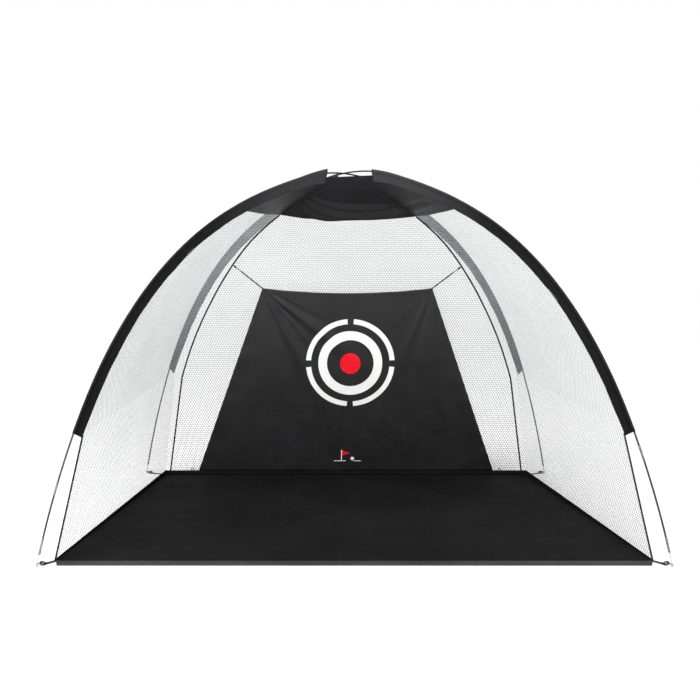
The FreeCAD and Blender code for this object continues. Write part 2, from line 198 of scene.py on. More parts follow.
def screenInk(name, ink):
    # plastisol ink on woven cloth: the weave shows through, and its tone is mottled by wear
    material, tree, surface = startMaterial(name, {"Specular IOR Level": 0.35, "Coat Weight": 0.05})
    place = addNode(tree, "ShaderNodeTexCoord").outputs["UV"]
    threads = crossedThreads(tree, place, ink["thread"])
    wear = addNode(tree, "ShaderNodeTexNoise", {"Scale": 60.0, "Detail": 6.0, "Roughness": 0.7},
                   {"Vector": place})
    colour = mottled(tree, wear, (0.35, 0.75), ink["light"], ink["dark"])
    rough = addNode(tree, "ShaderNodeMapRange", {"To Min": 0.38, "To Max": 0.6},
                    {"Value": wear.outputs["Fac"]})
    bump = addNode(tree, "ShaderNodeBump", {"Strength": 0.35, "Distance": 0.0004},
                   {"Height": threads.outputs[0]})
    finishSurface(tree, surface, colour, rough, bump)
    return material


# sizes in metres: thread spacing, crush creases and ribs; grain is noise repeats per metre along each axis
finishes = {
    "sleeveOxford": wovenCloth("blackSleeveOxford", {
        # the sleeve's paler colour up at its crown is painted light
        "dark": "#0a0a0b", "light": "#121213", "paintedCrownLight": "#323234", "thread": 0.0018, "crush": 0.05,
        "rough": (0.45, 0.62), "sheen": 0.0, "specular": 0.16, "dust": 0.12, "weave": 0.35, "creases": 0.35}),
    "roofTaffeta": wovenCloth("blackRoofTaffeta", {
        "dark": "#1c1c1d", "light": "#262628", "thread": 0.0016, "crush": 0.07, "rough": (0.38, 0.52),
        "sheen": 0.0, "specular": 0.09, "dust": 0.06, "weave": 0.25, "creases": 0.3}),
    "floorOxford": wovenCloth("blackFloorOxford", {
        "dark": "#101011", "light": "#181819", "thread": 0.002, "crush": 0.08, "rough": (0.6, 0.8),
        "sheen": 0.01, "specular": 0.06, "dust": 0.04, "weave": 0.3, "creases": 0.3}),
    "targetOxford": wovenCloth("blackTargetOxford", {
        "dark": "#1b1b1c", "light": "#242426", "thread": 0.0018, "crush": 0.09, "rough": (0.42, 0.6),
        "sheen": 0.0, "specular": 0.28, "dust": 0.05, "weave": 0.3, "creases": 0.25}),
    "greyLip": wovenCloth("greyLipTaffeta", {
        "dark": "#262628", "light": "#363638", "thread": 0.0016, "crush": 0.04, "rough": (0.4, 0.6),
        "sheen": 0.05, "specular": 0.3, "dust": 0.1, "weave": 0.3, "creases": 0.4}),
    "bindingTape": wovenCloth("blackBindingTape", {
        "dark": "#101011", "light": "#1c1c1e", "thread": 0.0015, "crush": 0.02, "rough": (0.5, 0.7),
        "sheen": 0.05, "specular": 0.25, "dust": 0.1, "weave": 0.6, "creases": 0.3}),
    "webbing": wovenCloth("blackWebbing", {
        "dark": "#0e0e0f", "light": "#1c1c1e", "thread": 0.0022, "crush": 0.02, "rough": (0.5, 0.7),
        "sheen": 0.2, "specular": 0.4, "dust": 0.15, "weave": 0.9, "creases": 0.2}),
    "netting": knittedThread("whitePolyesterNetting", {
        # the netting's grey towards the ground is painted shade
        "dark": "#9c9ea0", "light": "#c2c4c6", "paintedGroundShade": "#626466", "rib": 0.0025, "sheen": 0.15,
        "specular": 0.3}),
    "elastic": knittedThread("blackBraidedElastic", {
        "dark": "#080809", "light": "#1a1a1c", "rib": 0.0016, "sheen": 0.0, "specular": 0.15}),
    "shockCord": knittedThread("greyShockCord", {
        "dark": "#161617", "light": "#3c3c3e", "rib": 0.0014, "sheen": 0.05, "specular": 0.2}),
    "whiteInk": screenInk("whiteScreenInk", {"light": "#f8f8f6", "dark": "#eaeae8", "thread": 0.0016}),
    "redInk": screenInk("redScreenInk", {"light": "#f80620", "dark": "#dc0018", "thread": 0.0016}),
    "fibreglass": metalFinish("blackPultrudedFibreglass", {
        "metallic": 0.0, "light": "#161617", "dark": "#222224",
        "rough": (0.22, 0.4), "grain": (260, 260, 60)}),
    "ferruleSteel": metalFinish("platedSteelTube", {
        "metallic": 1.0, "light": "#7d7f81", "dark": "#5b5d5f",
        "rough": (0.28, 0.44), "grain": (400, 400, 60)}),
    "tipAluminium": metalFinish("turnedAluminium", {
        "metallic": 1.0, "light": "#8c8e90", "dark": "#626466",
        "rough": (0.28, 0.45), "grain": (120, 120, 900)}),
    "zincSteel": metalFinish("zincPlatedSteel", {
        "metallic": 1.0, "light": "#c9cacb", "dark": "#949698",
        "rough": (0.22, 0.42), "grain": (300, 300, 300)}),
    "hookPlastic": metalFinish("blackAcetal", {
        "metallic": 0.0, "light": "#101011", "dark": "#1d1d1f",
        "rough": (0.3, 0.45), "grain": (500, 500, 500)}),
}
print("materials made:", len(finishes))


# the two arches, as the frame has them
arch = {
    "frontSpan": 3.0, "rearSpan": 2.87, "footDepth": 1.8, "crossingLift": 0.0106,
    "turns": (19.65, 5.95, 8.85, 10.1, 8.9, 7.5, 6.25, 4.4, 3.45, 3.75),  # degrees per bend, crown to foot
    "poleStop": 0.105,
}


def archBends():
    # the bends of half an arch of unit bend length: radius, reach, drop and heading at each start
    found = []
    reach, drop, heading = 0.0, 0.0, 0.0
    for turn in arch["turns"]:
        radius, end = 1 / math.radians(turn), heading + math.radians(turn)
        found.append((radius, reach, drop, heading))
        reach += radius * (math.sin(end) - math.sin(heading))
        drop += radius * (math.cos(heading) - math.cos(end))
        heading = end
    return found, reach, drop


bends, unitReach, unitDrop = archBends()
bendLength = math.hypot((arch["frontSpan"] + arch["rearSpan"]) / 2, arch["footDepth"]) / 2 / unitReach
halfLength = bendLength * len(bends)
upward = np.array((0.0, 0.0, 1.0))

poles = {}
for poleName, side in (("a", -1), ("b", 1)):
    frontFoot = np.array((side * arch["frontSpan"] / 2, -arch["footDepth"] / 2, 0))
    rearFoot = np.array((-side * arch["rearSpan"] / 2, arch["footDepth"] / 2, 0))
    lift = arch["crossingLift"] if poleName == "b" else 0
    outward = (rearFoot - frontFoot) / np.linalg.norm(rearFoot - frontFoot)
    middle = (frontFoot + rearFoot) / 2 + upward * (bendLength * unitDrop + lift)
    poles[poleName] = {"middle": middle, "out": outward}

corners = {}
for cornerName, poleName, end in (("front_left", "a", -1), ("rear_right", "a", 1),
                                  ("front_right", "b", -1), ("rear_left", "b", 1)):
    hand = -1 if cornerName.endswith("left") else 1
    corners[cornerName] = {
        "pole": poles[poleName], "end": end, "row": "front" if end < 0 else "rear", "hand": hand,
        "toSide": np.cross(upward, poles[poleName]["out"]) * -hand,
    }


def station(corner, run):
    # point, tangent and outward normal on a pole, this far from its crown towards this corner
    distance = run / bendLength
    index = min(int(distance), len(bends) - 1)
    radius, reach, drop, heading = bends[index]
    turned = heading + (distance - index) / radius
    reach += radius * (math.sin(turned) - math.sin(heading))
    drop += radius * (math.cos(heading) - math.cos(turned))
    out = corner["pole"]["out"] * corner["end"]
    point = corner["pole"]["middle"] + (out * reach - upward * drop) * bendLength
    tangent = out * math.cos(turned) - upward * math.sin(turned)
    normal = out * math.sin(turned) + upward * math.cos(turned)
    return point, tangent, normal


# swing is the band's lean in degrees, start and stop are metres along the pole from the crown
sleeve = {
    "bandWidth": 0.062, "swing": {"front": 26.0, "rear": 8.0}, "start": 0.118,
    "stop": {"front": 2.218, "rear": 2.061}, "tubeRadius": 0.0064, "layerGap": 0.0013, "cloth": 0.0009,
    "spacing": 0.014, "ruffle": 0.0020, "wave": 0.0040, "hem": 0.0007, "hemWidth": 0.016,
    "topSwell": {"front_left": 0.020, "front_right": 0.006}, "topRun": 0.20,
    "footTaper": 0.10, "footRun": 0.16, "footCut": 0.012,
}


def bandWay(corner, normal):
    swing = math.radians(sleeve["swing"][corner["row"]])
    return corner["toSide"] * math.sin(swing) - normal * math.cos(swing)


def bandPoint(corner, run, width):
    point, _, normal = station(corner, run)
    return point + bandWay(corner, normal) * width


def uneven(x, y, z, seed):
    # smooth noise from -1 to 1, different for each seed
    return noise.noise(Vector((x + seed * 17.3, y - seed * 5.1, z + seed * 9.7)))


def newPiece(name, mesh, finish, body, nodes=()):
    piece = bpy.data.objects.new(name, mesh)
    scene.collection.objects.link(piece)
    mesh.materials.append(finishes[finish])
    if body:
        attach(piece, body)
    if nodes:
        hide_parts(*nodes)
    return piece


def runAlong(points):
    # how far each point is along its line
    return np.concatenate(([0], np.cumsum(np.linalg.norm(np.diff(points, axis=0), axis=1))))


def giveWall(piece, thickness, evenWall=False):
    # gives a single sheet its thickness, half to each side
    wall = piece.modifiers.new("wall", "SOLIDIFY")
    wall.thickness = thickness
    wall.offset = 0
    wall.use_quality_normals = evenWall
    bpy.ops.object.select_all(action="DESELECT")
    bpy.context.view_layer.objects.active = piece
    piece.select_set(True)
    bpy.ops.object.modifier_apply(modifier=wall.name)
    piece.select_set(False)


def clothGrid(name, points, lay, thickness, finish, body, nodes):
    # a sheet through a grid of points, given its thickness; lay is where each point was in the flat cloth
    points, lay = np.asarray(points), np.asarray(lay)
    rows, columns = points.shape[:2]
    index = np.arange(rows * columns).reshape(rows, columns)
    faces = np.stack((index[:-1, :-1], index[1:, :-1], index[1:, 1:], index[:-1, 1:]), axis=-1).reshape(-1, 4)
    mesh = bpy.data.meshes.new(name)
    mesh.from_pydata(points.reshape(-1, 3).tolist(), [], faces.tolist())
    mesh.uv_layers.new(name="cloth").data.foreach_set("uv", lay.reshape(-1, 2)[faces.ravel()].ravel())
    piece = newPiece(name, mesh, finish, body, nodes)
    giveWall(piece, thickness, True)
    piece.data.shade_smooth()
    return piece


def flatGrid(columns, rows, place):
    # place gives a point and where it was in the flat cloth, for u from -1 to 1 across and v from 0 to 1 up
    found = [[place(2 * i / (columns - 1) - 1, j / (rows - 1)) for i in range(columns)] for j in range(rows)]
    return [np.array([[both[k] for both in row] for row in found]) for k in (0, 1)]


def roundTube(name, line, half, finish, body, nodes, facing=(0, 1, 0), count=10):
    # a closed tube of oval section along a line of points; half is its two half widths
    along = np.gradient(line, axis=0)
    along /= np.linalg.norm(along, axis=1)[:, None]
    flat = np.asarray(facing, float) - along * (along @ np.asarray(facing, float))[:, None]
    flat /= np.linalg.norm(flat, axis=1)[:, None]
    across = np.cross(along, flat)
    length = runAlong(line)
    turn = np.linspace(0, 2 * math.pi, count, endpoint=False)
    rings = []
    for i in range(len(line)):
        swell = 1 + 0.06 * uneven(length[i] * 30, 0, 0, count)
        rings.append(line[i] + across[i] * (np.cos(turn)[:, None] * half[0] * swell)
                     + flat[i] * (np.sin(turn)[:, None] * half[1] * swell))
    mesh = bpy.data.meshes.new(name)
    total = len(line)
    around = [(j, (j + 1) % count) for j in range(count)]
    faces = [[i * count + j, i * count + k, (i + 1) * count + k, (i + 1) * count + j]
             for i in range(total - 1) for j, k in around]
    girth = 2 * math.pi * max(half)
    lay = [[(length[a // count], (b % count) / count * girth) for a, b in
            zip(face, (face[0], face[0] + 1, face[0] + 1, face[0]))] for face in faces]
    faces += [list(range(count))[::-1], [(total - 1) * count + j for j in range(count)]]
    lay += [[(0, 0)] * count, [(length[-1], 0)] * count]
    mesh.from_pydata(np.concatenate(rings).tolist(), [], faces)
    mesh.uv_layers.new(name="cloth").data.foreach_set("uv", np.array([p for f in lay for p in f]).ravel())
    piece = newPiece(name, mesh, finish, body, nodes)
    faceOut(piece)
    piece.data.shade_smooth()
    return piece


def faceOut(piece):
    # turns a closed mesh the right way out
    work = bmesh.new()
    work.from_mesh(piece.data)
    if work.calc_volume(signed=True) < 0:
        bmesh.ops.reverse_faces(work, faces=work.faces)
    work.to_mesh(piece.data)
    work.free()


# the target cloth's surface, which its ties and prints follow too
target = {
    "top": (0.557, 0.420, 1.329), "foot": (1.050, 0.842, 0.033), "sag": 0.033, "cloth": 0.0015,
    "hem": 0.0010, "hemWidth": 0.022, "columns": 190, "rows": 140,
    "folds": ((-1, 0.021, 0.62, 0.62), (1, 0.010, 0.20, 0.45)),  # hand, size, lean in radians, fade
    "ripple": 0.0045, "gather": 0.007, "footWrinkle": 0.006,
}
targetFoot = np.array((0, target["foot"][1], target["foot"][2]))
targetTop = np.array((0, target["top"][1], target["top"][2]))
targetTall = float(np.linalg.norm(targetTop - targetFoot))
targetRise = (targetTop - targetFoot) / targetTall
targetFacing = np.cross(targetRise, (1, 0, 0))  # towards the back net


def targetHalf(height):
    # half the cloth's width at this height up its slope
    return target["foot"][0] + (target["top"][0] - target["foot"][0]) * height / targetTall


def foldRelief(x, height):
    # how far the cloth stands towards the front: folds fanning from its tied corners and gathers at its foot
    relief = 0.0
    for seed, (hand, size, lean, fade) in enumerate(target["folds"], 1):
        dx, dh = (x - hand * target["top"][0]) * -hand, targetTall - height
        reach, angle = math.hypot(dx, dh), math.atan2(dx, max(dh, 1e-6))
        ridges = math.sin(angle * 15 + seed) * 0.6 + math.sin(angle * 27 + 2.4 * seed) * 0.4
        bundle = math.exp(-((angle - lean) / 0.42) ** 2)
        relief += size * min(reach / 0.22, 1) * math.exp(-reach / fade) * ridges * bundle
    relief += target["ripple"] * uneven(x * 2.2, height * 1.3, 0, 3)
    side = abs(x) / targetHalf(height)
    gather = max(0.0, (side - 0.72) / 0.28) ** 1.5
    relief += target["gather"] * gather * uneven(x * 6, height * 9, 0, 4)
    relief += target["footWrinkle"] * math.exp(-height / 0.08) * uneven(x * 11, height * 4, 0, 5)
    return relief * min(height / 0.05, 1)


def onTarget(x, height, proud):
    # a point on the cloth's front, standing this far proud of it
    out = proud + foldRelief(x, height)
    return targetFoot + np.array((x, 0, 0)) + targetRise * height - targetFacing * out


# tie cords, from hook to cloth
ties = {"diameter": 0.008, "left": ((-0.70099, 0.46170, 1.44029), (-0.5510, 0.42257, 1.32353)),
        "right": ((0.69964, 0.46142, 1.43152), (0.5510, 0.42257, 1.32353))}

for tieName in ("left", "right"):
    hookEnd, clothEnd = (Vector(p) for p in ties[tieName])
    curve = bpy.data.curves.new(tieName + "_elastic_tie", "CURVE")
    curve.dimensions = "3D"
    spline = curve.splines.new("NURBS")
    spline.points.add(3)
    for point, part in zip(spline.points, (0, 0.33, 0.67, 1)):
        point.co = tuple(hookEnd.lerp(clothEnd, part)) + (1.0,)
    spline.order_u = 3
    spline.use_endpoint_u = True
    curve.bevel_depth = ties["diameter"] / 2
    curve.bevel_resolution = 4
    curve.use_fill_caps = True
    cord = newPiece(tieName + "_elastic_tie", curve, "elastic", "target", [tieName + "_tie_cord"])
print("tie cords made")


# sleeves
def sleevePath():
    # the cloth's way across: along one layer of the band, round the pole and back along the other layer
    radius, gap, width = sleeve["tubeRadius"], sleeve["layerGap"], sleeve["bandWidth"]
    meet = 2.4 * radius
    start = math.acos(radius / meet)
    path = [(width * part, gap) for part in (1, 0.97, 0.85, 0.7, 0.55, 0.4)] + [(meet, gap)]
    path += [((meet + radius * math.cos(start)) / 2, (gap + radius * math.sin(start)) / 2)]
    path += [(radius * math.cos(t), radius * math.sin(t)) for t in np.linspace(start, math.pi, 7)]
    return np.array(path + [(a, -c) for a, c in path[:-1][::-1]])


def makeSleeve(name, corner, seed):
    path = sleevePath()
    radius = sleeve["tubeRadius"]
    slack = sleeve["topSwell"].get(name, 0.0)
    steps = runAlong(path)
    stop = sleeve["stop"][corner["row"]]
    runs = np.linspace(sleeve["start"], stop, int((stop - sleeve["start"]) / sleeve["spacing"]))
    points, lay = [], []
    for run in runs:
        point, tangent, normal = station(corner, run)
        way = bandWay(corner, normal)
        across = np.cross(tangent, way)
        nearEnd = min(run - sleeve["start"], stop - run)
        hem = sleeve["hem"] if nearEnd < sleeve["hemWidth"] else 0.0
        loose = slack * max(0, 1 - (run - sleeve["start"]) / sleeve["topRun"]) ** 1.4
        ending = max(0, 1 - (stop - run) / sleeve["footRun"])
        ring = []
        for a, c in path:
            share = max(a, 0) / sleeve["bandWidth"]
            if a < radius:  # small crinkles where the cloth goes round the pole
                swell = 1 + 0.06 * abs(uneven(run * 60, c * 120, 0, seed + 3)) + hem * 60
                along, out = a * swell, c * swell
                if a < 0:  # loose cloth stands off the pole at the sleeve's top end
                    along += loose * a / radius
            else:  # the band waves a little, most at its free edge
                along = a + (sleeve["ruffle"] * uneven(run * 14, 0, 0, seed + 2) if share > 0.9 else 0)
                out = c + sleeve["wave"] * share ** 1.5 * uneven(run * 9, share, 0, seed)
                out += 0.0009 * share * uneven(run * 38, share * 2, 0, seed + 1) + math.copysign(hem, c)
            along *= 1 - sleeve["footTaper"] * share * ending ** 2
            low = tangent * (sleeve["footCut"] * share * ending ** 3)
            ring.append(point + way * along + across * out + low)
        points.append(ring)
        lay.append([(run, s) for s in steps])
    piece = clothGrid(name + "_pole_sleeve", points, lay, sleeve["cloth"], "sleeveOxford", "tent",
                      [name + "_sleeve"])


for count, (cornerName, corner) in enumerate(corners.items()):
    makeSleeve(cornerName, corner, 10 * count + 1)
print("sleeves made")


# netting; runs are metres along the poles from the crown, insets stand in from the sleeve's band
net = {
    "pitch": 0.017, "thread": 0.0033, "depth": 0.0016, "tucked": 0.006, "billow": 0.007, "ripple": 0.0018,
    "frontRuns": (0.690, 1.000, 1.320, 1.620, 1.920, 2.218),
    "rearRuns": (0.600, 0.880, 1.170, 1.460, 1.760, 2.061),
    "seamInset": (0.002, 0.018, 0.047, 0.067, 0.075, 0.086), "seamFoot": 0.036, "backSag": 0.040,
    "floorFront": (1.440, -0.830), "floorRear": (1.290, 0.850), "hemHeight": 0.030, "frontHem": 0.003,
    "samples": 260,
}


def floorCorner(corner, height):
    x, y = net["floorFront"] if corner["row"] == "front" else net["floorRear"]
    return np.array((corner["hand"] * x, y, height))


def bandLine(corner, part, extra=0.0):
    # a point down the netting's edge: part runs 0 to 5 beside the sleeve and 5 to 6 down to the floor
    runs = net[corner["row"] + "Runs"]
    last = len(runs) - 1
    beside = bandPoint(corner, float(np.interp(part, range(last + 1), runs)), sleeve["bandWidth"] + extra)
    if part < last:
        return beside
    low = floorCorner(corner, net["hemHeight"] if corner["row"] == "rear" else net["frontHem"])
    return beside * (last + 1 - part) + low * (part - last)


def seamLine(corner, part):
    # the taped seam between side and back, standing in from the rear sleeve
    last = len(net["seamInset"]) - 1
    low = floorCorner(corner, net["hemHeight"]) - np.array((corner["hand"] * net["seamFoot"], 0, 0))
    beside = bandLine(corner, min(part, last), float(np.interp(part, range(last + 1), net["seamInset"])))
    return beside if part < last else beside * (last + 1 - part) + low * (part - last)


def unitRows(rows):
    return rows / np.linalg.norm(rows, axis=-1)[..., None]


def netPanel(lines):
    # lines are three curves down the panel, from edge to edge; the pattern starts from the middle one
    lines = [np.array(line) for line in lines]
    centre = sum(lines) / len(lines)
    down = runAlong(centre)
    steps = [np.zeros(len(down))]
    for a, b in zip(lines[:-1], lines[1:]):
        steps.append(steps[-1] + np.linalg.norm(b - a, axis=1))
    marks = np.array(steps) - steps[1]
    return {"lines": lines, "down": down, "marks": marks}


def alongLine(panel, i, v):
    return np.stack([np.interp(v, panel["down"], panel["lines"][i][:, k]) for k in range(3)], axis=-1)


def onPanel(panel, s, v, inward):
    # points and normals of the panel for flat places s across and v down
    s, v = np.asarray(s, float), np.clip(v, 0, panel["down"][-1])
    marks = np.array([np.interp(v, panel["down"], m) for m in panel["marks"]])
    places = [alongLine(panel, i, v) for i in range(len(panel["lines"]))]
    point = np.zeros(s.shape + (3,))
    normal = np.zeros_like(point)
    done = np.zeros(s.shape, bool)
    for i in range(len(places) - 1):
        here = ~done & ((s <= marks[i + 1]) | (i == len(places) - 2))
        share = ((s - marks[i]) / np.maximum(marks[i + 1] - marks[i], 1e-9)).clip(0, 1)
        found = places[i] + (places[i + 1] - places[i]) * share[..., None]
        point[here] = found[here]
        wide = unitRows(places[i + 1] - places[i] + 1e-9)
        tall = alongLine(panel, i, v + 0.02) - alongLine(panel, i, v - 0.02)
        normal[here] = unitRows(np.cross(wide, tall))[here]
        done |= here
    share = (s - marks[0]) / np.maximum(marks[-1] - marks[0], 1e-9)
    deep = np.sin(math.pi * share.clip(0, 1)) * np.sin(math.pi * (v / panel["down"][-1]).clip(0, 1))
    flow = np.sin(s * 11.3 + v * 3.1) + np.sin(s * 5.9 - v * 7.7 + 1.3) + np.sin(s * 2.3 + v * 12.9 + 0.4)
    shift = deep * net["billow"] * inward + np.minimum(deep * 4, 1) * flow * net["ripple"] / 1.7
    return point + normal * shift[..., None], normal


def makeNet(name, panel, inward, node):
    # hexagonal meshes knitted without knots: threads of lens-shaped section that share their ends
    pitch, tall = net["pitch"], panel["down"][-1]
    radius = pitch / math.sqrt(3)
    low, high = panel["marks"].min(), panel["marks"].max()
    rows = int(tall / (1.5 * radius)) + 2
    columns = range(int(low / pitch) - 2, int(high / pitch) + 3)
    cells = np.array([(2 * i + (j % 2), 3 * j) for j in range(rows) for i in columns])
    around = np.array(((0, 2), (1, 1), (1, -1), (0, -2), (-1, -1), (-1, 1)))
    corner = cells[:, None, :] + around[None]
    s, v = corner[..., 0] * pitch / 2, corner[..., 1] * radius / 2
    left, right = (np.interp(np.clip(v, 0, tall), panel["down"], panel["marks"][k]) for k in (0, -1))
    across = (s > left + 0.15 * pitch) & (s < right - 0.15 * pitch)
    kept = (across & (v > 0.1 * pitch) & (v < tall - 0.1 * pitch)).sum(axis=1) >= 2
    cells, s, v, left, right, corner = (values[kept] for values in (cells, s, v, left, right, corner))
    creep = 0.02  # what lies past the edge is folded to it, and keeps this share of its place
    s = np.where(s < left, left - (left - s) * creep, np.where(s > right, right + (s - right) * creep, s))
    v = np.where(v < 0, -v * creep, np.where(v > tall, tall - (v - tall) * creep, v))
    hole = 1 - net["thread"] / pitch
    rimS, rimV = (m + (values - m) * hole for values, m in ((s, s.mean(axis=1, keepdims=True)),
                                                            (v, v.mean(axis=1, keepdims=True))))
    split = cells[len(cells) // 2 + len(cells) % 2, 1]  # whole rows go to the upper or the lower piece
    for half, mine in (("upper", cells[:, 1] < split), ("lower", cells[:, 1] >= split)):
        key = corner[mine][..., 0] * 100000 + corner[mine][..., 1] + 5000000  # one number for each knot
        _, first, index = np.unique(key.ravel(), return_index=True, return_inverse=True)
        index = index.reshape(-1, 6)
        ridge, normal = onPanel(panel, s[mine].ravel()[first], v[mine].ravel()[first], inward)
        rim, _ = onPanel(panel, rimS[mine].ravel(), rimV[mine].ravel(), inward)
        count = len(ridge)
        points = np.concatenate((ridge + normal * net["depth"] / 2, ridge - normal * net["depth"] / 2, rim))
        top, bottom = index, index + count
        inner = np.arange(len(index) * 6).reshape(-1, 6) + 2 * count
        after = np.roll(np.arange(6), -1)
        faces = [np.stack((top[:, after], top, inner, inner[:, after]), axis=-1).reshape(-1, 4),
                 np.stack((bottom, bottom[:, after], inner[:, after], inner), axis=-1).reshape(-1, 4)]
        # a thread that only one mesh uses is the panel's edge, and is closed there
        pair = np.stack((index, index[:, after]), axis=-1).reshape(-1, 2)
        _, back, uses = np.unique(np.sort(pair, axis=1), axis=0, return_index=True, return_counts=True)
        a, b = pair[back[uses == 1]].T
        faces.append(np.stack((a, b, b + count, a + count), axis=-1))
        faces = np.concatenate(faces)
        mesh = bpy.data.meshes.new(name + "_" + half)
        mesh.vertices.add(len(points))
        mesh.vertices.foreach_set("co", points.ravel())
        mesh.loops.add(faces.size)
        mesh.loops.foreach_set("vertex_index", faces.ravel())
        mesh.polygons.add(len(faces))
        mesh.polygons.foreach_set("loop_start", np.arange(len(faces)) * 4)
        mesh.update(calc_edges=True)
        piece = newPiece(mesh.name, mesh, "netting", "tent", [node] if half == "upper" else ())
        faceOut(piece)
        piece.data.shade_smooth()
        area = len(index) * pitch * pitch * math.sqrt(3) / 2
        print(piece.name, "area", round(area, 3))


parts = np.linspace(0, 6, net["samples"])
for handName, hand in (("left", -1), ("right", 1)):
    front, rear = corners["front_" + handName], corners["rear_" + handName]
    edges = ([bandLine(front, p, -net["tucked"]) for p in parts], [bandLine(rear, p) for p in parts],
             [seamLine(rear, p) for p in parts])
    makeNet(handName + "_side_netting", netPanel(edges), -hand, handName + "_side_net")
seams = [[seamLine(corners[name], p) for p in parts] for name in ("rear_left", "rear_right")]
halfway = [(a + b) / 2 - upward * net["backSag"] * math.exp(-p * 1.6) for a, b, p in zip(*seams, parts)]
makeNet("back_netting", netPanel((seams[0], halfway, seams[1])), -1, "back_net")
print("netting made")


# roof; its edge hangs this far below the poles at each of its runs
roof = {
    "runs": {"front": (0.130, 0.300, 0.490, 0.690), "rear": (0.130, 0.280, 0.440, 0.600)},
    "hang": {"front": (0.024, 0.042, 0.060, 0.060), "rear": (0.058, 0.059, 0.061, 0.061)},
    "flat": (1.12, 0.95), "cloth": 0.0012, "sag": 0.038, "sideSag": 0.006, "ripple": 0.0030,
    "fold": 0.030, "foldStart": 0.72, "foldStep": 0.34, "across": 90, "down": 60,
}


def roofLine(corner, r):
    # a point on the roof's edge along this sleeve, r running from the crown end to the lower edge
    run, hang = (float(np.interp(r * 3, range(4), roof[kind][corner["row"]])) for kind in ("runs", "hang"))
    return bandPoint(corner, run, hang)


def roofFold(across, down):
    # folds that fan out under the roof from high on its rear left pole, and sweep down to the right
    fan = (down - 0.30) / max(across + 0.27, 0.06) * (1 + 1.2 * min(across, 1.2) ** 2)
    ridges = math.sin(2 * math.pi * (fan - roof["foldStart"]) / roof["foldStep"])
    spread = math.exp(-((fan - 1.02) / 0.52) ** 4)  # few folds, in the middle of the fan
    ends = min(1, max(0, (across + 0.2) / 0.25)) * min(1, max(0, (1.33 - across) / 0.5))
    first = math.exp(-((fan - 0.85) / 0.28) ** 2)  # the first one reaches right across
    reach = first + (1 - first) * min(1, max(0, (1.0 - across) / 0.4))
    hem = 1 - 0.8 * max(0, (down - 0.82) / 0.18)
    sewn = min(1, abs(across) / 0.1, abs(across - 1) / 0.1)  # held flat beside the rear sleeves
    grown = min(1, 0.35 + max(across, 0) * 1.5)
    return roof["fold"] * ridges * spread * ends * reach * hem * sewn * grown


def makeRoof():
    mesh = bpy.data.meshes.new("roof_cloth")
    work = bmesh.new()
    layer = work.loops.layers.uv.new("cloth")

    def rippled(point, lift=0.0):
        return point + upward * (lift + roof["ripple"] * uneven(point[0] * 4, point[1] * 5, 0, 50))

    def patch(count, tall, where):
        grid = [[work.verts.new(where(i / (count - 1), j / (tall - 1))) for i in range(count)]
                for j in range(tall)]
        for j in range(tall - 1):
            for i in range(count - 1):
                face = work.faces.new((grid[j][i], grid[j + 1][i], grid[j + 1][i + 1], grid[j][i + 1]))
                for loop in face.loops:
                    loop[layer].uv = (loop.vert.co.x, loop.vert.co.y - 0.8 * loop.vert.co.z)

    # left, back and right sectors: the folds' way across them starts here and is this wide
    sectors = (("front_left", "rear_left", -0.33, 0.33), ("rear_left", "rear_right", 0, 1),
               ("rear_right", "front_right", 1, 0.33))
    for a, b, foldStart, foldWidth in sectors:
        def sector(s, r):
            base = roofLine(corners[a], r) * (1 - s) + roofLine(corners[b], r) * s
            sag = roof["sag"] if foldWidth == 1 else roof["sideSag"]
            base = base - upward * sag * 4 * s * (1 - s) * r ** 1.5
            return rippled(base, roofFold(foldStart + s * foldWidth, r))
        patch(roof["across"], roof["down"], sector)

    def cap(s, r):
        left, right = (roofLine(corners["front_" + handName], 0) * (1 - r)
                       + roofLine(corners["rear_" + handName], 0) * r for handName in ("left", "right"))
        return rippled(left * (1 - s) + right * s)
    patch(roof["across"], roof["across"], cap)
    bmesh.ops.remove_doubles(work, verts=work.verts, dist=0.0004)
    bmesh.ops.recalc_face_normals(work, faces=work.faces)
    middle = sorted(work.faces, key=lambda f: f.calc_center_median().xy.length)[0]
    if middle.normal.z < 0:
        bmesh.ops.reverse_faces(work, faces=work.faces)
    work.to_mesh(mesh)
    work.free()
    piece = newPiece("roof_cloth", mesh, "roofTaffeta", "tent", ["roof_panel"])
    giveWall(piece, roof["cloth"])
    piece.data.shade_smooth()


makeRoof()


# seam tapes
tape = {"rear": (0.0055, 0.0034), "front": (0.0048, 0.0028), "spacing": 0.02}  # half widths


def evenly(points, gap):
    points = np.asarray(points, float)
    far = runAlong(points)
    at = np.linspace(0, far[-1], max(2, int(far[-1] / gap)))
    return np.stack([np.interp(at, far, points[:, k]) for k in range(3)], axis=-1)


for handName, hand in (("left", -1), ("right", 1)):
    front, rear = corners["front_" + handName], corners["rear_" + handName]
    line = evenly([bandLine(front, p, -0.004) for p in np.linspace(5, 6, 12)], tape["spacing"])
    roundTube(handName + "_front_binding", line, tape["front"], "bindingTape", "tent",
              [handName + "_front_tape"])
    line = evenly([seamLine(rear, p) for p in np.linspace(0, 6, 90)], tape["spacing"])
    roundTube(handName + "_rear_binding", line, tape["rear"], "bindingTape", "tent",
              [handName + "_rear_tape"], facing=(hand * 0.4, 1, 0))
print("bindings made")


# floor, lip and hem
floor = {
    "cloth": 0.0014, "columns": 130, "rows": 84, "off": 0.0008, "lift": 0.0045, "packedFolds": 0.30,
    "foldLift": 0.0018, "lip": 0.060, "lipShrink": 0.030, "lipCloth": 0.0013, "lipColumns": 120, "lipRows": 7,
    "lipPuff": 0.0045, "hemCloth": 0.0015, "hemFront": 0.007,
}


